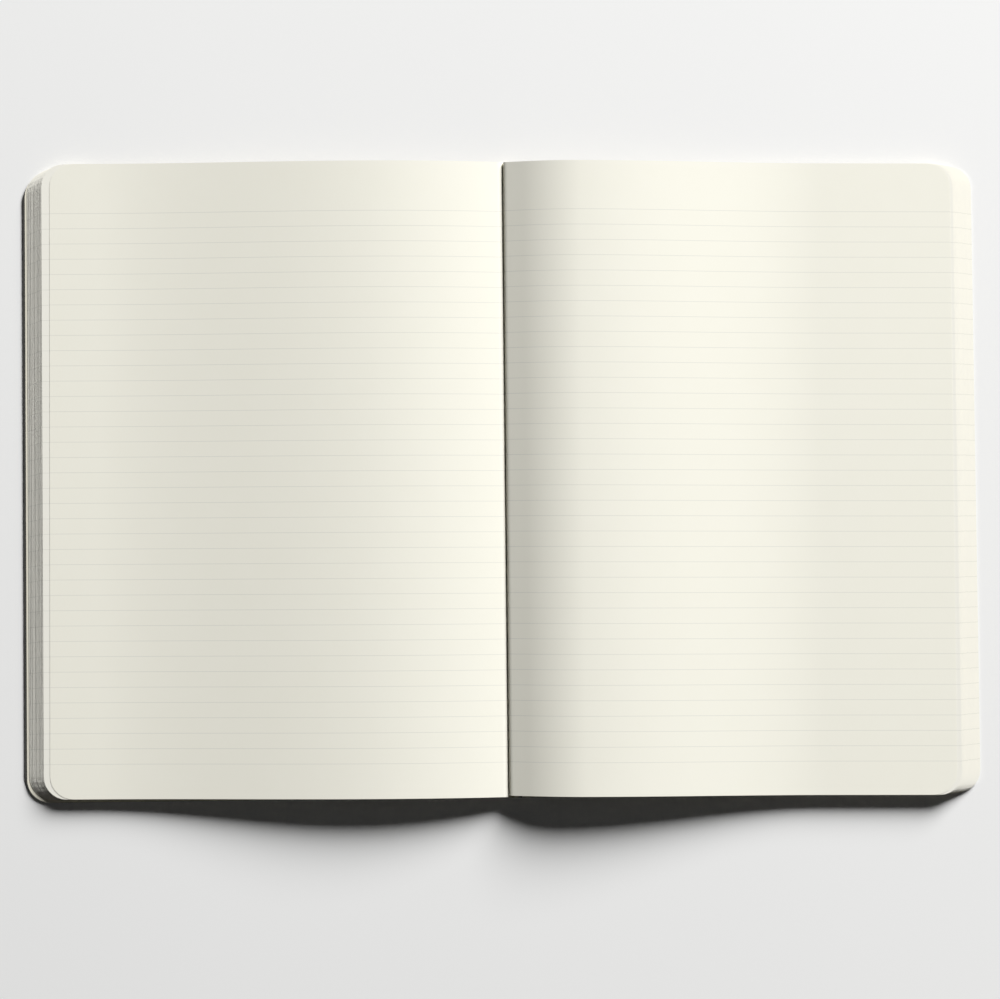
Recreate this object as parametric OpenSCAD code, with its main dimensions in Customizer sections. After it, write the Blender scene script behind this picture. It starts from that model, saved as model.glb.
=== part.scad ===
// Softcover notebook, lying open at the middle with its blank pages up.
// X runs across the spread, Y up the page and Z up from the table; the spine lies over the origin.
// As it lies, the pages have slid a little on the cover: to the right and towards the head.
// Each half of the pages arches out of the sewn fold, bends down and lies flat to its fore edge.
// The upper leaves take the longer way over the arch, so their fore edges fan back in steps.

/* [Cover] */
// Width of one cover from the middle of the spine to its fore edge
cover_w = 188.7; // [160:0.1:220]
// Height of the covers along the spine
cover_h = 250; // [180:1:300]
// Thickness of the flexible cover
cover_t = 0.6; // [0.4:0.1:1.2]
// Radius of the covers' fore-edge corners
cover_corner = 12; // [6:1:20]
// Distance of each hinge crease from the middle of the spine
crease_d = 7.5; // [7:0.5:12]

/* [Pages] */
// How much the pages are shorter than the cover, at the head and again at the tail
page_trim = 0.2; // [0:0.1:3]
// Distance of the fold between the pages to the right of the spine's middle
fold_x = 2; // [0:0.1:2.4]
// How far the pages have slid on the cover towards the head
page_rise = 1; // [0:0.1:3]
// How far the front cover shows past the left pages at its fore edge
left_overhang = 1.4; // [0:0.1:3]
// How far the back cover reaches past the right pages at its fore edge
right_overhang = 0.2; // [0:0.1:3]
// Thickness of the pages on each side of the opening
stack_t = 3.2; // [2.6:0.2:4]
// Groups of leaves that show as steps at each fore edge
leaf_groups = 6; // [3:1:8]
// Radius of the pages' fore-edge corners
page_corner = 11; // [5:1:18]
// Height of the bottom of the fold between the two top pages
fold_h = 3; // [1.6:0.05:3.45]
// Thickness of the endpapers' leaves
endpaper_t = 0.15; // [0.1:0.05:0.3]

/* [Left arch] */
// Distance of the left crest from the fold
left_crest_d = 50; // [30:1:80]
// Height of the left crest above the table
left_crest_h = 9.7; // [7:0.1:13]
// Distance at which the left pages come to lie flat
left_lay_d = 160; // [120:1:168]
// Fullness of the left roll-down: a low value is a slope, a high one a tight curl
left_fullness = 1.55; // [1.2:0.05:4]
// How far the top left leaf is drawn in towards the fold
left_slip = 4.3; // [0:0.1:5]

/* [Right arch] */
// Distance of the right crest from the fold
right_crest_d = 23; // [12:1:60]
// Height of the right crest above the table
right_crest_h = 11; // [7:0.1:13]
// Distance at which the right pages come to lie flat
right_lay_d = 122; // [80:1:168]
// Fullness of the right roll-down: a low value is a slope, a high one a tight curl
right_fullness = 1.9; // [1.2:0.05:4]
// How far the top right leaf is drawn in towards the fold
right_slip = 2.1; // [0:0.1:5]

/* [Binding] */
// Thickness of the gauze and paper strip glued to the back of the pages
lining_t = 0.2; // [0.1:0.05:0.4]
// How far the lining reaches past the pages on each side of the spine
lining_lap = 0.8; // [0.2:0.1:1.5]
// Diameter of the sewing thread
thread_d = 0.4; // [0.3:0.05:0.6]
// Distance of the last stitch from the head and from the tail of the pages
stitch_inset = 12; // [6:1:30]
// Room around the thread in its saw cut
thread_gap = 0.1; // [0.05:0.05:0.3]

/* [Hidden] */
$fn = 96;

page_h = cover_h - 2 * page_trim;
// The cover and the pages on it are set so that the whole is centred between head and tail
cover_y = (cover_h / 2 - page_h / 2 - page_rise) / 2;
page_y = cover_y + page_rise;
group_t = stack_t / leaf_groups;
back_z = cover_t + lining_t;
bed_z = cover_t + 2 * endpaper_t;
flat_z = bed_z + stack_t;
rise_steps = 18;
fall_steps = 16;

// How far the flat part of the pages reaches back into the arched part
plate_lap = 1;
// How far a cut reaches past the surface that it opens
cut_over = 1;
// Rise over the flat pages at which the arch begins to spread the groups
spread_from = 0.02;
// Least distance between neighbouring points of a gap's outline
point_gap = 0.01;

// One side of the opening: crest distance, crest height, lay distance, fullness, slip and reach,
// which is the distance from the fold to the fore edge of the lowest leaves
LEFT = [left_crest_d, left_crest_h, left_lay_d, left_fullness, left_slip,
    cover_w - left_overhang + fold_x];
RIGHT = [right_crest_d, right_crest_h, right_lay_d, right_fullness, right_slip,
    cover_w - right_overhang - fold_x];

// Rise of the top page out of the fold, a quarter of a superellipse
function rise_z(side, d) =
    fold_h + (side[1] - fold_h) * pow(1 - pow(1 - d / side[0], side[3]), 1 / side[3]);

// Distance from the fold at which the rise reaches height z
function rise_d(side, z) =
    side[0] * (1 - pow(1 - pow((z - fold_h) / (side[1] - fold_h), side[3]), 1 / side[3]));

// Fall of the top page from its crest to where it lies flat
function fall_z(side, d) =
    let (u = (d - side[0]) / (side[2] - side[0]))
    side[1] - (side[1] - flat_z) * u * u * (3 - 2 * u);

// Height of the top page at distance d from the fold
function top_z(side, d) =
    d <= 0 ? fold_h : d < side[0] ? rise_z(side, d) : d < side[2] ? fall_z(side, d) : flat_z;

// Distances at which the arch is drawn, closer together where it curls into the fold
function stations(side) = concat(
    [for (i = [0 : rise_steps]) side[0] * (1 - pow(cos(90 * i / rise_steps), 2 / side[3]))],
    [for (i = [1 : fall_steps]) side[0] + (side[2] - side[0]) * i / fall_steps]);

// Bound edge of a group of leaves: the lowest group is bound furthest from the fold
function bound_d(group) = (leaf_groups - 1 - group) * group_t;

// How much of the arch a group takes: none at the cover, all of it at the top
function arch_share(group) = group / (leaf_groups - 1);

// Height of a group's lower face: the groups are spread apart by the arch
function group_z(side, group, d) =
    bed_z + group * group_t + arch_share(group) * max(0, top_z(side, d) - flat_z);

// Length of a group's upper face from its bound edge to where it lies flat
function arch_length(side, group) =
    let (
        path = [for (d = stations(side)) if (d > bound_d(group)) [d, group_z(side, group, d) + group_t]],
        start = [bound_d(group), group == leaf_groups - 1 ? fold_h : path[0][1]],
        points = concat([start], path)
    )
    start[1] - back_z + add([for (i = [1 : len(points) - 1]) norm(points[i] - points[i - 1])]);

function add(values, i = 0) = i < len(values) ? values[i] + add(values, i + 1) : 0;

// Fore edge of a group of leaves: the longer way over the arch draws it in from the lowest one's
function fore_edge(side, group) =
    side[5] + arch_length(side, 0) - arch_length(side, group) - side[4] * arch_share(group);

// A flat sheet that reaches from the spine side to a fore edge with rounded corners
module sheet(from, to, height, corner, thickness) {
    linear_extrude(thickness)
    union() {
        translate([from, -height / 2])
        square([to - corner - from, height]);
        translate([from, corner - height / 2])
        square([to - from, height - 2 * corner]);
        for (end = [-1, 1])
            translate([to - corner, end * (height / 2 - corner)])
            circle(r = corner);
    }
}

// A section drawn in X and Z, run along the page
module along_page(length) {
    rotate([90, 0, 0])
    linear_extrude(length, center = true)
    children();
}

// Section of the arched part of a stack, from its glued back to where it lies flat
module arch_section(side) {
    points = stations(side);
    polygon(concat(
        [[0, back_z], [stack_t, back_z], [stack_t, bed_z], [side[2], bed_z]],
        [for (i = [len(points) - 1 : -1 : 0]) [points[i], top_z(side, points[i])]]));
}

// Section of the air gap under a group of leaves, where the arch lifts it off the one below
module gap_section(side, group) {
    start = max(bound_d(group - 1), rise_d(side, flat_z + spread_from));
    points = concat([start], [for (d = stations(side)) if (d > start + point_gap) d]);
    last = len(points) - 1;
    lower = [for (i = [0 : last]) [points[i], group_z(side, group - 1, points[i]) + group_t]];
    upper = [for (i = [last - 1 : -1 : 0]) [points[i], group_z(side, group, points[i])]];
    polygon(concat(lower, upper));
}

// Thread path in plan: two runs along the spine, joined at head and tail
module thread_loop(width) {
    run = page_h - 2 * stitch_inset;
    for (end = [-1, 1]) {
        translate([end * stack_t / 2, 0, 0])
        rotate([90, 0, 0])
        cylinder(d = width, h = run, center = true);
        translate([0, end * run / 2, 0])
        rotate([0, 90, 0])
        cylinder(d = width, h = stack_t, center = true);
    }
    for (x = [-1, 1], y = [-1, 1])
        translate([x * stack_t / 2, y * run / 2, 0])
        sphere(d = width);
}

// Saw cuts across the back of the pages that take the thread
module thread_cuts() {
    run = page_h - 2 * stitch_inset;
    room = thread_d + 2 * thread_gap;
    for (end = [-1, 1]) {
        translate([end * stack_t / 2 - room / 2, -run / 2 - room / 2, back_z - cut_over])
        cube([room, run + room, cut_over + room]);
        translate([-stack_t / 2, end * run / 2 - room / 2, back_z - cut_over])
        cube([stack_t, room, cut_over + room]);
    }
}

// The pages on one side of the opening, drawn to the right of the fold
module page_stack(side) {
    difference() {
        union() {
            along_page(page_h)
            arch_section(side);
            // Each step is drawn from the bed up, inside the wider ones below it
            for (group = [0 : leaf_groups - 1])
                translate([0, 0, bed_z])
                sheet(side[2] - plate_lap, fore_edge(side, group), page_h, page_corner,
                    (group + 1) * group_t);
        }
        for (group = [1 : leaf_groups - 1])
            along_page(page_h + 2 * cut_over)
            gap_section(side, group);
        thread_cuts();
    }
}

module right_pages() {
    color("#f0ece0")
    translate([fold_x, page_y, 0])
    page_stack(RIGHT);
}

module left_pages() {
    color("#eeeadc")
    translate([fold_x, page_y, 0])
    mirror([1, 0, 0])
    page_stack(LEFT);
}

// Cover panel beyond the crease
module cover_panel() {
    translate([0, cover_y, 0])
    sheet(crease_d, cover_w, cover_h, cover_corner, cover_t);
}

module back_cover() {
    color("#22211d")
    cover_panel();
}

module front_cover() {
    color("#22211d")
    mirror([1, 0, 0])
    cover_panel();
}

// Panel of the cover between the two creases
module spine() {
    color("#2a2924")
    translate([-crease_d, cover_y - cover_h / 2, 0])
    cube([2 * crease_d, cover_h, cover_t]);
}

// Folded endpaper: one leaf is pasted to the cover and the other lies free on it
module endpaper(overhang) {
    edge = cover_w - overhang;
    from = crease_d + endpaper_t;
    translate([0, cover_y, cover_t])
    sheet(from, edge, page_h, page_corner, endpaper_t);
    translate([0, cover_y, cover_t + endpaper_t])
    sheet(from, edge - endpaper_t, page_h, page_corner, endpaper_t);
}

module back_endpaper() {
    color("#e6e1d1")
    endpaper(right_overhang);
}

module front_endpaper() {
    color("#e6e1d1")
    mirror([1, 0, 0])
    endpaper(left_overhang);
}

// Strip of gauze and paper glued between the back of the pages and the spine
module spine_lining() {
    half_w = stack_t + lining_lap;
    color("#c8c0aa")
    translate([fold_x - half_w, page_y - page_h / 2, cover_t])
    cube([2 * half_w, page_h, lining_t]);
}

// Sewing thread in its saw cuts on the back of the pages
module sewing_thread() {
    color("#f4f1e8")
    translate([fold_x, page_y, back_z + thread_d / 2])
    thread_loop(thread_d);
}

front_cover();
spine();
back_cover();
front_endpaper();
back_endpaper();
left_pages();
right_pages();
spine_lining();
sewing_thread();
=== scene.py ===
import math
from collections import namedtuple

import bpy
import numpy as np
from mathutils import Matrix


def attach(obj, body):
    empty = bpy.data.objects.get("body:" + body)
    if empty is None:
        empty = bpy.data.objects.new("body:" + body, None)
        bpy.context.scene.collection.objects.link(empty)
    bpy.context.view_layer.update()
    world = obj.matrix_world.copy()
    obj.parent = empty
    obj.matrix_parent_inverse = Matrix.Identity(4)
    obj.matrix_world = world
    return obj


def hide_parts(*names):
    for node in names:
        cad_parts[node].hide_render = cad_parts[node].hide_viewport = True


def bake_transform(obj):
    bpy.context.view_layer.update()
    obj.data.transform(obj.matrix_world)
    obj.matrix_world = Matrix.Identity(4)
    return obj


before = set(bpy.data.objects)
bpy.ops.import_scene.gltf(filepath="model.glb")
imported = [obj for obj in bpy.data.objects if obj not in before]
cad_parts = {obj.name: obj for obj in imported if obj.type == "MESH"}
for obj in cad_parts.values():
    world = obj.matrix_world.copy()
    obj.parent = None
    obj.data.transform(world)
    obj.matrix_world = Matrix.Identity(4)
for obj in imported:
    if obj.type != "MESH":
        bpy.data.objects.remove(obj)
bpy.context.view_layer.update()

MM = 0.001

# Lengths are in mm up to the stage, and turned to metres where a mesh or a node is made.
# X runs across the spread, Y up the page and Z up from the table. The middle of the spine is X 0.
# Several values were fitted to the photograph and differ a little from the CAD source.

# Half of the cover: width from the middle of the spine, height, thickness and corner
COVER_W, COVER_H, COVER_T, COVER_CORNER = 188.1, 248.6, 0.6, 11
# The crease's distance from the middle of the spine, and how far to either side of it the crease's columns
# reach
CREASE_D, CREASE_REACH = 7.5, 3

# Endpaper: thickness, gap to the cover, and how far its free leaf lies under BED_Z
ENDPAPER_T, PASTE_GAP, FREE_GAP = 0.1, 0.02, 0.01
# How much nearer to the spine than the pasted leaf the endpaper's fold and its free leaf lie
ENDPAPER_FOLD, ENDPAPER_FREE = 0.08, 0.15

# Where the leaves are bound: the fold's distance to the right of the spine's middle, the height of the bound
# edges, and how far from the fold the lowest leaf starts
FOLD_X, BACK_Z, STACK_T = 2.3, 0.8, 3.2
# A leaf's thickness and corner. The lowest leaf, which the others are counted up from, is the free leaf of the
# endpaper: the height of its face, and its length up the page.
LEAF_T, PAGE_CORNER, BED_Z, LOWEST_H = 0.075, 9, 0.9, 248.4
# How far a leaf may lie off its even place at the fore edge, and the fore edge's distance along the paper
UNEVEN, UNEVEN_REACH = 0.1, 190
# How far the top leaves have turned in plan at the fore edge: mm across for one mm up the page
TURN = 0.0035

# The groove between the two top leaves: half its width, and how deep down they part
LIP, PARTING_Z = 0.8, 1.5

# Ruling: where the first and the last line are, how many there are, and half a line's width
FIRST_LINE, LAST_LINE, LINES, LINE_HALF = 105.55, -111.53, 37, 0.11

# Painted shade at the head, darkening it, sets in over these heights, between the leaves and on their cut
# edges, and between the leaves it ends over these lengths from the bound edge, before the corner
LEAF_HEAD_SHADE_Y, EDGE_HEAD_SHADE_Y, LEAF_HEAD_SHADE_X = (122.5, 123.5), (119, 124), (162, 170)

# Pieces that the leaves under the top one are made in, from the cover up
GATHERINGS = 4
# Points: rows up the page, finer steps for the top leaf, and columns on a lip, on a slope and in a corner
COVER_ROWS, ENDPAPER_ROWS, GATHERING_ROWS, TOP_ROWS = 16, 8, 12, 40
GATHERING_DETAIL, TOP_DETAIL = 1, 4
LIP_COLUMNS, SLOPE_COLUMNS, CORNER_COLUMNS = 3, 8, 8
# The cover has one column on half of the spine, this far from its middle, and more over the crease, on the
# flat and in the corner. The endpaper has the last number on its flat and in its corner.
SPINE_COLUMN, CREASE_COLUMNS, FLAT_COLUMNS, COVER_CORNER_COLUMNS, ENDPAPER_COLUMNS = 2.5, 13, 14, 16, 10
# Faces that meet at more than this many degrees keep a sharp edge
SHARP = 35

# One side of the opening. The top leaf starts at fold_h beside the groove, climbs straight over ramp, rounds
# off to crest_h at crest_d and falls until it lies flat at flat_z from lay_d on. leaves counts the top one
# too. tall is a leaf's length up the page. The edges are fore edges, measured from the fold: of the lowest
# leaf, of the others and of the top one. A rise is how far a leaf's middle lies up the page from the cover's
# middle, at the fold and at the fore edge, for the lowest leaf and for the top one. endpaper_inset is how far
# inside the cover's fore edge the endpaper ends.
Side = namedtuple("Side",
    "name sign leaves fold_h ramp crest_d crest_h lay_d flat_z tall "
    "lowest_edge upper_edge top_edge low_rise top_rise endpaper_inset")
LEFT = Side(
    name="left", sign=-1, leaves=31,
    fold_h=4.8, ramp=2, crest_d=52, crest_h=9.4, lay_d=160, flat_z=3.7, tall=250.5,
    lowest_edge=188.9, upper_edge=182.2, top_edge=179.6,
    low_rise=(0.5, 1.2), top_rise=(1.6, 2.5), endpaper_inset=0.8)
RIGHT = Side(
    name="right", sign=1, leaves=38,
    fold_h=5.8, ramp=8, crest_d=30, crest_h=11, lay_d=125, flat_z=4.4, tall=249.6,
    lowest_edge=186.6, upper_edge=178.3, top_edge=176.9,
    low_rise=(0.5, 0.0), top_rise=(1.8, 0.0), endpaper_inset=0.2)


def linear(colour):
    """Linear RGBA of an sRGB hex colour."""
    parts = [int(colour[i:i + 2], 16) / 255 for i in (1, 3, 5)]
    return [c / 12.92 if c <= 0.04045 else ((c + 0.055) / 1.055) ** 2.4 for c in parts] + [1]


def add(tree, kind, links=(), values=(), **settings):
    """Adds a node with its settings, links its inputs and fills in the others."""
    made = tree.nodes.new(kind)
    for name, setting in settings.items():
        setattr(made, name, setting)
    for name, source in dict(links).items():
        tree.links.new(source, made.inputs[name])
    for name, value in dict(values).items():
        made.inputs[name].default_value = value
    return made


# Shapes


def leaf_columns(side, edge, detail):
    """Columns of a leaf as the top one lies: distance from the fold, height, and half its length up the
    page."""
    lip = np.linspace(0, math.pi / 2, LIP_COLUMNS + detail)
    climb = np.linspace(LIP, side.crest_d, SLOPE_COLUMNS * detail + 1)[1:]
    rounded = side.crest_d - side.ramp
    slope = (side.crest_h - side.fold_h) / (side.ramp - LIP + rounded / 2)
    fall = np.linspace(0, 1, SLOPE_COLUMNS * detail + 1)[1:]
    flat = np.linspace(side.lay_d, edge - PAGE_CORNER, 2 * detail + 1)[1:-1]
    corner = np.linspace(0, math.pi / 2, CORNER_COLUMNS)
    distance = np.concatenate([
        [0],
        LIP * (1 - np.cos(lip)),
        climb,
        side.crest_d + (side.lay_d - side.crest_d) * fall,
        flat,
        edge - PAGE_CORNER + PAGE_CORNER * np.sin(corner),
    ])
    height = np.concatenate([
        [BACK_Z],
        PARTING_Z + (side.fold_h - PARTING_Z) * np.sin(lip),
        np.where(
            climb < side.ramp,
            side.fold_h + slope * (climb - LIP),
            side.crest_h - slope / 2 / rounded * (side.crest_d - climb) ** 2),
        side.crest_h - (side.crest_h - side.flat_z) * fall * fall * (3 - 2 * fall),
        np.full(len(flat) + len(corner), side.flat_z),
    ])
    half = np.full(len(distance), side.tall / 2)
    half[-len(corner):] -= PAGE_CORNER * (1 - np.cos(corner))
    return distance, height, half


def lowest_columns(side, distance, height):
    """The same columns on the lowest leaf, which starts furthest from the fold and lies flat."""
    share = (side.lowest_edge - STACK_T) / distance[-1]
    low = np.minimum(height, side.flat_z)
    bed = BACK_Z + (low - BACK_Z) * (BED_Z - BACK_Z) / (side.flat_z - BACK_Z)
    return STACK_T + distance * share, bed


def across(half, rows):
    """Place up the page of each point of each column."""
    return half[:, None] * np.linspace(-1, 1, rows + 1)


def lying(side, distance, height, half, rows, rise, turn):
    """Points of a leaf as it lies on the cover, in columns from the fold and rows from the tail."""
    y = across(half, rows)
    reach = distance[:, None] / distance[-1]
    x = FOLD_X + side.sign * distance[:, None] + turn * y * reach
    up = rise[0] + (rise[1] - rise[0]) * reach
    return np.stack(np.broadcast_arrays(x, y + up, height[:, None]), axis=2)


def laid_flat(distance, height, half, rows):
    """Where each point is on the paper before it is bent: the length from the bound edge and the height."""
    steps = np.hypot(np.diff(distance), np.diff(height))
    along = np.concatenate([[0], np.cumsum(steps)])
    y = across(half, rows)
    return np.stack(np.broadcast_arrays(along[:, None], y, 0), axis=2)


def sheet(name, sign, points):
    """A sheet with its upper face outward, from its points in columns away from the spine."""
    columns, rows = points.shape[:2]
    start = (np.arange(columns - 1)[:, None] * rows + np.arange(rows - 1)).ravel()
    faces = np.stack([start, start + rows, start + rows + 1, start + 1], axis=1)
    mesh = bpy.data.meshes.new(name)
    mesh.from_pydata((points.reshape(-1, 3) * MM).tolist(), [], faces[:, ::sign].tolist())
    obj = bpy.data.objects.new(name, mesh)
    bpy.context.scene.collection.objects.link(obj)
    return obj


def store(obj, name, values):
    """Keeps a place in metres at each point of a mesh."""
    attribute = obj.data.attributes.new(name, "FLOAT_VECTOR", "POINT")
    attribute.data.foreach_set("vector", (np.asarray(values) * MM).astype(np.float32).ravel())


def thicken(obj, thickness, *materials):
    """Gives a sheet its thickness below its upper face and makes it a plain mesh. A second material is the
    rim's."""
    solid = obj.modifiers.new("thickness", "SOLIDIFY")
    solid.thickness = thickness * MM
    solid.offset = -1
    solid.material_offset_rim = len(materials) - 1
    obj.data.materials.clear()
    for one in materials:
        obj.data.materials.append(one)
    graph = bpy.context.evaluated_depsgraph_get()
    mesh = bpy.data.meshes.new_from_object(obj.evaluated_get(graph))
    obj.modifiers.clear()
    obj.data = mesh
    mesh.shade_smooth()
    mesh.set_sharp_from_angle(angle=math.radians(SHARP))


def leaf_stack_tree():
    """Copies a sheet once for each leaf, each lying between the lowest leaf and the top one."""
    tree = bpy.data.node_groups.new("leaf stack", "GeometryNodeTree")
    for name, kind in (
        ("Geometry", "NodeSocketGeometry"),
        ("Leaves", "NodeSocketInt"),
        ("First leaf", "NodeSocketFloat"),
        ("Last leaf", "NodeSocketFloat"),
        ("Unevenness", "NodeSocketVector"),
        ("Paper", "NodeSocketMaterial"),
    ):
        tree.interface.new_socket(name, in_out="INPUT", socket_type=kind)
    tree.interface.new_socket("Geometry", in_out="OUTPUT", socket_type="NodeSocketGeometry")
    given = add(tree, "NodeGroupInput").outputs

    # One point for each leaf, marked with its share of the way from the lowest leaf, 0, to the top one, 1
    first = add(tree, "ShaderNodeCombineXYZ", {"X": given["First leaf"]})
    last = add(tree, "ShaderNodeCombineXYZ", {"X": given["Last leaf"]})
    line = add(tree, "GeometryNodeMeshLine",
        {"Count": given["Leaves"], "Start Location": first.outputs[0], "Offset": last.outputs[0]},
        mode="END_POINTS")
    place = add(tree, "GeometryNodeInputPosition")
    share = add(tree, "ShaderNodeSeparateXYZ", {0: place.outputs[0]})
    marked = add(tree, "GeometryNodeStoreNamedAttribute",
        {"Geometry": line.outputs["Mesh"], "Value": share.outputs["X"]}, {"Name": "leaf"},
        data_type="FLOAT")
    origin = add(tree, "ShaderNodeCombineXYZ")
    gathered = add(tree, "GeometryNodeSetPosition",
        {"Geometry": marked.outputs[0], "Position": origin.outputs[0]})
    copies = add(tree, "GeometryNodeInstanceOnPoints",
        {"Points": gathered.outputs[0], "Instance": given["Geometry"]})
    leaves = add(tree, "GeometryNodeRealizeInstances", {"Geometry": copies.outputs[0]})

    # Each leaf goes to its share of the way between the two
    leaf = add(tree, "GeometryNodeInputNamedAttribute", values={"Name": "leaf"}, data_type="FLOAT")
    lowest = add(tree, "GeometryNodeInputNamedAttribute",
        values={"Name": "lowest"}, data_type="FLOAT_VECTOR")
    between = add(tree, "ShaderNodeMix",
        {0: leaf.outputs[0], 4: lowest.outputs[0], 5: place.outputs[0]}, data_type="VECTOR")

    # Each leaf gets a draw of its own, and its unevenness grows from nothing at the bound edge
    number = add(tree, "ShaderNodeMath", {0: leaf.outputs[0]}, {1: 1000.0}, operation="MULTIPLY")
    least = add(tree, "ShaderNodeVectorMath", {0: given["Unevenness"]}, {"Scale": -1.0}, operation="SCALE")
    uneven = add(tree, "FunctionNodeRandomValue",
        {"Min": least.outputs[0], "Max": given["Unevenness"], "ID": number.outputs[0]}, {"Seed": 7},
        data_type="FLOAT_VECTOR")
    flat = add(tree, "GeometryNodeInputNamedAttribute",
        values={"Name": "laid_flat"}, data_type="FLOAT_VECTOR")
    reach = add(tree, "ShaderNodeSeparateXYZ", {0: flat.outputs[0]})
    grows = add(tree, "ShaderNodeMath",
        {0: reach.outputs["X"]}, {1: 1 / (UNEVEN_REACH * MM)}, operation="MULTIPLY")
    shift = add(tree, "ShaderNodeVectorMath",
        {0: uneven.outputs[0], "Scale": grows.outputs[0]}, operation="SCALE")
    placed = add(tree, "GeometryNodeSetPosition",
        {"Geometry": leaves.outputs[0], "Position": between.outputs[1], "Offset": shift.outputs[0]})
    papered = add(tree, "GeometryNodeSetMaterial",
        {"Geometry": placed.outputs[0], "Material": given["Paper"]})
    add(tree, "NodeGroupOutput", {"Geometry": papered.outputs[0]})
    return tree


def bend(obj, side):
    """Bakes a piece's placing into its mesh, the same way on either side."""
    if side is RIGHT:
        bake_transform(obj)
    else:
        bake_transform(obj)


def make_gatherings(side, tree, paper, cut):
    """The leaves of one side under the top one, in gatherings from the cover up."""
    distance, height, half = leaf_columns(side, side.upper_edge, GATHERING_DETAIL)
    low_distance, low_height = lowest_columns(side, distance, height)
    low_half = half - (side.tall - LOWEST_H) / 2
    upper = lying(side, distance, height, half, GATHERING_ROWS, side.top_rise, 0)
    lowest = lying(side, low_distance, low_height, low_half, GATHERING_ROWS, side.low_rise, 0)
    inputs = {i.name: i.identifier for i in tree.interface.items_tree if i.in_out == "INPUT"}
    bounds = np.linspace(0, side.leaves - 1, GATHERINGS + 1).astype(int)
    made = []
    for k in range(GATHERINGS):
        first = float((bounds[k] + 1) / side.leaves)
        last = float(bounds[k + 1] / side.leaves)
        obj = sheet(f"{side.name}_gathering_{k + 1}", side.sign, upper)
        store(obj, "lowest", lowest)
        store(obj, "laid_flat", laid_flat(distance, height, half, GATHERING_ROWS))
        nodes = obj.modifiers.new("leaves", "NODES")
        nodes.node_group = tree
        nodes[inputs["Leaves"]] = int(bounds[k + 1] - bounds[k])
        nodes[inputs["First leaf"]] = first
        nodes[inputs["Last leaf"]] = last
        nodes[inputs["Unevenness"]] = (UNEVEN * MM, UNEVEN * MM, 0.0)
        nodes[inputs["Paper"]] = paper
        thicken(obj, LEAF_T, paper, cut)
        bend(obj, side)
        made.append(obj)
    return made


def make_top_leaf(side, paper, cut):
    """The loose leaf on top of one side, turned a little in plan."""
    distance, height, half = leaf_columns(side, side.top_edge, TOP_DETAIL)
    obj = sheet(f"{side.name}_top_leaf", side.sign,
        lying(side, distance, height, half, TOP_ROWS, side.top_rise, TURN))
    store(obj, "laid_flat", laid_flat(distance, height, half, TOP_ROWS))
    thicken(obj, LEAF_T, paper, cut)
    bend(obj, side)
    return obj


def make_cover(side, leatherette):
    """Half of the cover, from the middle of the spine to the fore edge, lying flat, with close columns over the
    crease.
    """
    crease_in, crease_out = CREASE_D - CREASE_REACH, CREASE_D + CREASE_REACH
    corner = np.linspace(0, math.pi / 2, COVER_CORNER_COLUMNS)
    distance = np.concatenate([
        [0, SPINE_COLUMN],
        np.linspace(crease_in, crease_out, CREASE_COLUMNS),
        np.linspace(crease_out, COVER_W - COVER_CORNER, FLAT_COLUMNS)[1:-1],
        COVER_W - COVER_CORNER + COVER_CORNER * np.sin(corner),
    ])
    half = np.full(len(distance), COVER_H / 2)
    half[-len(corner):] -= COVER_CORNER * (1 - np.cos(corner))
    points = np.stack(np.broadcast_arrays(
        side.sign * distance[:, None], across(half, COVER_ROWS), COVER_T), axis=2)
    node, body = ("back_cover", "back_half") if side is RIGHT else ("front_cover", "front_half")
    obj = sheet(f"{node}_skin", side.sign, points)
    thicken(obj, COVER_T, leatherette)
    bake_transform(obj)
    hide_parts(node, "spine")


def make_endpaper(side, paper):
    """A folded sheet in one piece: the leaf pasted to the cover, the fold near the spine and the free leaf."""
    corner = np.linspace(math.pi / 2, 0, ENDPAPER_COLUMNS)
    turned_in = COVER_W - side.endpaper_inset - PAGE_CORNER
    inner = CREASE_D + ENDPAPER_FREE
    pasted = np.concatenate([
        turned_in + PAGE_CORNER * np.sin(corner),
        np.linspace(turned_in, inner, ENDPAPER_COLUMNS)[1:],
    ])
    half_pasted = np.full(len(pasted), LOWEST_H / 2)
    half_pasted[:len(corner)] -= PAGE_CORNER * (1 - np.cos(corner))
    low = COVER_T + PASTE_GAP + ENDPAPER_T
    high = BED_Z - FREE_GAP
    distance = np.concatenate([pasted, [inner - ENDPAPER_FOLD], pasted[::-1] - ENDPAPER_FREE])
    height = np.concatenate([np.full(len(pasted), low), [(low + high) / 2], np.full(len(pasted), high)])
    half = np.concatenate([half_pasted, [LOWEST_H / 2], half_pasted[::-1]])
    points = np.stack(np.broadcast_arrays(
        side.sign * distance[:, None], across(half, ENDPAPER_ROWS), height[:, None]), axis=2)
    node, body = ("back_endpaper", "back_half") if side is RIGHT else ("front_endpaper", "front_half")
    obj = sheet(f"{node}_sheet", side.sign, points)
    thicken(obj, ENDPAPER_T, paper)
    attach(obj, body)
    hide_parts(node)


# Materials


def material(name):
    """A new material without nodes, and its node tree."""
    made = bpy.data.materials.new(name)
    made.use_nodes = True
    made.node_tree.nodes.clear()
    return made, made.node_tree


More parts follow.
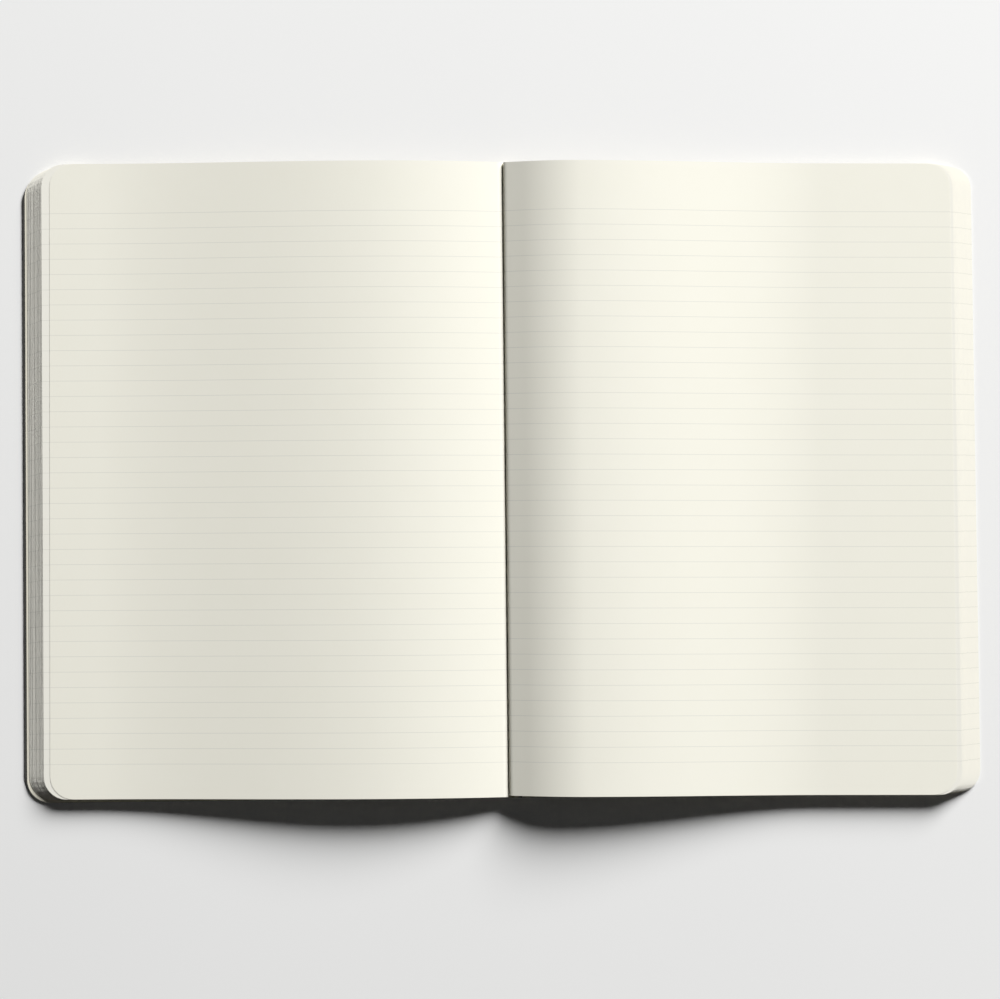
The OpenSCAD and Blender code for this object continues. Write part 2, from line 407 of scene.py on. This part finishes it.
def writing_paper(name, thick, thin, head):
    """Uncoated ivory writing paper, offset ruled: matt, slightly clouded where the sheet is thick or thin, with
    thin grey lines. head is the colour of painted shade in the outer two millimetres at the head."""
    made, tree = material(name)
    flat = add(tree, "ShaderNodeAttribute", attribute_name="laid_flat")
    split = add(tree, "ShaderNodeSeparateXYZ", {0: flat.outputs["Vector"]})
    # Ping-pong over half a pitch is the distance to the nearest line, 0 on it and half a pitch in between
    pitch = (FIRST_LINE - LAST_LINE) / (LINES - 1) * MM
    from_first = add(tree, "ShaderNodeMath",
        {0: split.outputs["Y"]}, {1: FIRST_LINE * MM}, operation="SUBTRACT")
    to_line = add(tree, "ShaderNodeMath", {0: from_first.outputs[0]}, {1: pitch / 2}, operation="PINGPONG")
    on_line = add(tree, "ShaderNodeMath", {0: to_line.outputs[0]}, {1: LINE_HALF * MM}, operation="LESS_THAN")
    # The ruling ends 1 mm past its first and its last line
    under_first = add(tree, "ShaderNodeMath",
        {0: split.outputs["Y"]}, {1: (FIRST_LINE + 1) * MM}, operation="LESS_THAN")
    over_last = add(tree, "ShaderNodeMath",
        {0: split.outputs["Y"]}, {1: (LAST_LINE - 1) * MM}, operation="GREATER_THAN")
    ruled = add(tree, "ShaderNodeMath",
        {0: on_line.outputs[0], 1: under_first.outputs[0]}, operation="MULTIPLY")
    ruling = add(tree, "ShaderNodeMath",
        {0: ruled.outputs[0], 1: over_last.outputs[0]}, operation="MULTIPLY")
    # Clouding about 12 mm across
    cloud = add(tree, "ShaderNodeTexNoise",
        {"Vector": flat.outputs["Vector"]}, {"Scale": 80.0, "Detail": 4.0})
    tone = add(tree, "ShaderNodeMix", {0: cloud.outputs[0]},
        {6: linear(thick), 7: linear(thin)}, data_type="RGBA")
    # Painted shade between the leaves at the head, apart from the corner
    outer = add(tree, "ShaderNodeMapRange",
        {0: split.outputs["Y"]}, {1: LEAF_HEAD_SHADE_Y[0] * MM, 2: LEAF_HEAD_SHADE_Y[1] * MM})
    inward = add(tree, "ShaderNodeMapRange",
        {0: split.outputs["X"]}, {1: LEAF_HEAD_SHADE_X[0] * MM, 2: LEAF_HEAD_SHADE_X[1] * MM, 3: 1.0, 4: 0.0})
    head_shade = add(tree, "ShaderNodeMath", {0: outer.outputs[0], 1: inward.outputs[0]}, operation="MULTIPLY")
    head_shaded = add(tree, "ShaderNodeMix", {0: head_shade.outputs[0], 6: tone.outputs[2]},
        {7: linear(head)}, data_type="RGBA")
    colour = add(tree, "ShaderNodeMix", {0: ruling.outputs[0], 6: head_shaded.outputs[2]},
        {7: linear("#e0dfd5")}, data_type="RGBA")
    # Fibres, drawn about 0.5 mm long, coarser than real
    fibre = add(tree, "ShaderNodeTexNoise",
        {"Vector": flat.outputs["Vector"]}, {"Scale": 2200.0, "Detail": 2.0})
    bump = add(tree, "ShaderNodeBump", {"Height": fibre.outputs[0]}, {"Strength": 0.06, "Distance": 0.00005})
    shader = add(tree, "ShaderNodeBsdfPrincipled",
        {"Base Color": colour.outputs[2], "Normal": bump.outputs[0]},
        {"Roughness": 0.85, "Specular IOR Level": 0.25})
    add(tree, "ShaderNodeOutputMaterial", {"Surface": shader.outputs[0]})
    return made


def cut_edge():
    """Guillotined edge of the leaves: the same paper, duller, with stood-up fibres. Its colour is painted shade
    of the gaps between the leaves, and darker still at the head as painted shade.
    """
    made, tree = material("uncoated ivory writing paper, cut edge")
    place = add(tree, "ShaderNodeTexCoord")
    # Fibres about 1 mm long
    streak = add(tree, "ShaderNodeTexNoise",
        {"Vector": place.outputs["Object"]}, {"Scale": 900.0, "Detail": 2.0})
    # Painted shade: the edge is written darker than the leaves' faces, for the shade in the gaps between them
    tone = add(tree, "ShaderNodeMix", {0: streak.outputs[0]},
        {6: linear("#bdb6a3"), 7: linear("#aea793")}, data_type="RGBA")
    split = add(tree, "ShaderNodeSeparateXYZ", {0: place.outputs["Object"]})
    # Painted shade: the cut edges turn darker still at the head
    head_shade = add(tree, "ShaderNodeMapRange",
        {0: split.outputs["Y"]}, {1: EDGE_HEAD_SHADE_Y[0] * MM, 2: EDGE_HEAD_SHADE_Y[1] * MM})
    head_shaded = add(tree, "ShaderNodeMix", {0: head_shade.outputs[0], 6: tone.outputs[2]},
        {7: linear("#8a8475")}, data_type="RGBA")
    shader = add(tree, "ShaderNodeBsdfPrincipled", {"Base Color": head_shaded.outputs[2]},
        {"Roughness": 0.9, "Specular IOR Level": 0.15})
    add(tree, "ShaderNodeOutputMaterial", {"Surface": shader.outputs[0]})
    return made


def plain_paper():
    """Uncoated ivory endpaper, plain: matt, and a little warmer than the leaves."""
    made, tree = material("uncoated ivory endpaper")
    place = add(tree, "ShaderNodeTexCoord")
    # Clouding about 11 mm across
    cloud = add(tree, "ShaderNodeTexNoise",
        {"Vector": place.outputs["Object"]}, {"Scale": 90.0, "Detail": 4.0})
    tone = add(tree, "ShaderNodeMix", {0: cloud.outputs[0]},
        {6: linear("#ece8d8"), 7: linear("#e8e3d2")}, data_type="RGBA")
    shader = add(tree, "ShaderNodeBsdfPrincipled", {"Base Color": tone.outputs[2]},
        {"Roughness": 0.85, "Specular IOR Level": 0.25})
    add(tree, "ShaderNodeOutputMaterial", {"Surface": shader.outputs[0]})
    return made


def cover_leatherette():
    """Black coated leatherette, embossed: a fine pebbled grain that breaks up its soft sheen."""
    made, tree = material("black leatherette, embossed")
    place = add(tree, "ShaderNodeTexCoord")
    # Pebbles about 0.7 mm across
    pebbles = add(tree, "ShaderNodeTexVoronoi", {"Vector": place.outputs["Object"]}, {"Scale": 1400.0},
        feature="DISTANCE_TO_EDGE")
    depth = add(tree, "ShaderNodeMath", {0: pebbles.outputs[0]}, {1: 0.25}, operation="MINIMUM")
    bump = add(tree, "ShaderNodeBump", {"Height": depth.outputs[0]}, {"Strength": 0.5, "Distance": 0.0002})
    # Handling has rubbed it smoother in patches about 17 mm across
    wear = add(tree, "ShaderNodeTexNoise",
        {"Vector": place.outputs["Object"]}, {"Scale": 60.0, "Detail": 3.0})
    rough = add(tree, "ShaderNodeMapRange", {0: wear.outputs[0]}, {3: 0.45, 4: 0.6})
    shader = add(tree, "ShaderNodeBsdfPrincipled",
        {"Normal": bump.outputs[0], "Roughness": rough.outputs[0]},
        {"Base Color": linear("#343330"), "Specular IOR Level": 0.4})
    add(tree, "ShaderNodeOutputMaterial", {"Surface": shader.outputs[0]})
    return made


def lining_gauze():
    """Gauze glued on kraft paper: an open weave, soaked with glue, so it is dull and brownish."""
    made, tree = material("gauze and kraft paper, glued")
    place = add(tree, "ShaderNodeTexCoord")
    # Threads 2 mm apart both ways, drawn coarser than real
    warp = add(tree, "ShaderNodeTexWave", {"Vector": place.outputs["Object"]}, {"Scale": 160.0},
        bands_direction="X")
    weft = add(tree, "ShaderNodeTexWave", {"Vector": place.outputs["Object"]}, {"Scale": 160.0},
        bands_direction="Y")
    weave = add(tree, "ShaderNodeMath", {0: warp.outputs[1], 1: weft.outputs[1]}, operation="MAXIMUM")
    colour = add(tree, "ShaderNodeMix", {0: weave.outputs[0]},
        {6: linear("#ab9e80"), 7: linear("#d2c9b3")}, data_type="RGBA")
    bump = add(tree, "ShaderNodeBump", {"Height": weave.outputs[0]}, {"Strength": 0.4, "Distance": 0.0001})
    shader = add(tree, "ShaderNodeBsdfPrincipled",
        {"Base Color": colour.outputs[2], "Normal": bump.outputs[0]}, {"Roughness": 0.8})
    add(tree, "ShaderNodeOutputMaterial", {"Surface": shader.outputs[0]})
    return made


def sewing_cotton():
    """White cotton thread, twisted and waxed: a soft sheen on its twist."""
    made, tree = material("cotton sewing thread, twisted")
    place = add(tree, "ShaderNodeTexCoord")
    # A turn of the twist about every 1.6 mm, drawn coarser than real
    twist = add(tree, "ShaderNodeTexWave", {"Vector": place.outputs["Object"]}, {"Scale": 400.0},
        bands_direction="DIAGONAL")
    bump = add(tree, "ShaderNodeBump", {"Height": twist.outputs[1]}, {"Strength": 0.5, "Distance": 0.00005})
    shader = add(tree, "ShaderNodeBsdfPrincipled", {"Normal": bump.outputs[0]},
        {"Base Color": linear("#f1eee5"), "Roughness": 0.6, "Sheen Weight": 0.3})
    add(tree, "ShaderNodeOutputMaterial", {"Surface": shader.outputs[0]})
    return made


def table_top():
    """Matt painted board, pale and plain, so that the shadow is clean."""
    made, tree = material("matt painted board")
    shader = add(tree, "ShaderNodeBsdfPrincipled", values={
        "Base Color": linear("#f1f1f0"), "Roughness": 0.9, "Specular IOR Level": 0.1})
    add(tree, "ShaderNodeOutputMaterial", {"Surface": shader.outputs[0]})
    return made


# Stage: lengths in metres

TABLE_HALF = 4.0
# The softbox stands low at the upper right: where it is seen from the notebook, and its width and height
AZIMUTH, ELEVATION, AWAY = math.radians(56), math.radians(22.8), 6.0
SOFTBOX_W, SOFTBOX_H = 3.2, 2.7
# What a white level surface renders as under the softbox, and what the room adds to it
LEVEL, ROOM = 0.95, 0.028
# The camera was fitted to the notebook's outline and its ruled lines in the photograph
LENS, SENSOR = 82.05, 36
CAMERA_PLACE = (-9.3 * MM, -33.0 * MM, 902.4 * MM)
CAMERA_TURN = [math.radians(a) for a in (1.68, -0.572, -0.589)]
NEAREST, FURTHEST = 0.05, 20


def make_table():
    """A level board that the notebook lies on."""
    mesh = bpy.data.meshes.new("table")
    corners = [(x * TABLE_HALF, y * TABLE_HALF, 0) for x, y in ((-1, -1), (1, -1), (1, 1), (-1, 1))]
    mesh.from_pydata(corners, [], [(0, 1, 2, 3)])
    mesh.materials.append(table_top())
    table = bpy.data.objects.new("table", mesh)
    bpy.context.scene.collection.objects.link(table)


def make_softbox():
    """One large lamp, with the power that lights a level surface as LEVEL says."""
    light = bpy.data.lights.new("softbox", "AREA")
    light.shape = "ELLIPSE"
    light.size = SOFTBOX_W
    light.size_y = SOFTBOX_H
    light.energy = math.pi ** 2 * LEVEL * AWAY ** 2 / math.sin(ELEVATION)
    lamp = bpy.data.objects.new("softbox", light)
    lamp.location = (
        AWAY * math.cos(ELEVATION) * math.cos(AZIMUTH),
        AWAY * math.cos(ELEVATION) * math.sin(AZIMUTH),
        AWAY * math.sin(ELEVATION))
    lamp.rotation_euler = (math.pi / 2 - ELEVATION, 0, AZIMUTH + math.pi / 2)
    bpy.context.scene.collection.objects.link(lamp)


def make_room():
    """Surroundings that light the notebook dimly and look pale past the table."""
    world = bpy.data.worlds.new("room")
    bpy.context.scene.world = world
    world.use_nodes = True
    tree = world.node_tree
    tree.nodes.clear()
    path = add(tree, "ShaderNodeLightPath")
    seen = add(tree, "ShaderNodeMath",
        {0: path.outputs["Is Camera Ray"], 1: path.outputs["Is Glossy Ray"]}, operation="ADD")
    direct = add(tree, "ShaderNodeMath",
        {0: seen.outputs[0], 1: path.outputs["Is Transmission Ray"]}, operation="ADD", use_clamp=True)
    dim = add(tree, "ShaderNodeBackground", values={"Color": linear("#ffffff"), "Strength": ROOM})
    pale = add(tree, "ShaderNodeBackground", values={"Color": linear("#e9e9e8"), "Strength": 1.0})
    mixed = add(tree, "ShaderNodeMixShader", {0: direct.outputs[0], 1: dim.outputs[0], 2: pale.outputs[0]})
    add(tree, "ShaderNodeOutputWorld", {"Surface": mixed.outputs[0]})


def make_camera():
    """The camera, almost straight above."""
    lens = bpy.data.cameras.new("camera")
    lens.lens = LENS
    lens.sensor_width = SENSOR
    lens.clip_start = NEAREST
    lens.clip_end = FURTHEST
    camera = bpy.data.objects.new("camera", lens)
    camera.location = CAMERA_PLACE
    camera.rotation_euler = CAMERA_TURN
    bpy.context.scene.collection.objects.link(camera)
    bpy.context.scene.camera = camera
    bpy.context.scene.view_settings.view_transform = "Standard"


stack_tree = leaf_stack_tree()
top_paper = writing_paper("uncoated ivory writing paper, offset ruled", "#f2f0e4", "#f0eee1", "#f1efe3")
# The leaves below get light thrown back by the sheets around them, so their paper is written a little cooler;
# their head colour is dark painted shade
inner_paper = writing_paper(
    "uncoated ivory writing paper, offset ruled, inner leaves", "#f2f0e6", "#efede3", "#8a8475")
leatherette = cover_leatherette()
end_sheet = plain_paper()
leaf_edge = cut_edge()
for side in (LEFT, RIGHT):
    make_cover(side, leatherette)
    make_endpaper(side, end_sheet)
    pages = make_gatherings(side, stack_tree, inner_paper, leaf_edge)
    pages.append(make_top_leaf(side, top_paper, leaf_edge))
    for obj in pages:
        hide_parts(f"{side.name}_pages")
for node, finish in (("spine_lining", lining_gauze()), ("sewing_thread", sewing_cotton())):
    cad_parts[node].data.materials.clear()
    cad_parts[node].data.materials.append(finish)
make_table()
make_softbox()
make_room()
make_camera()
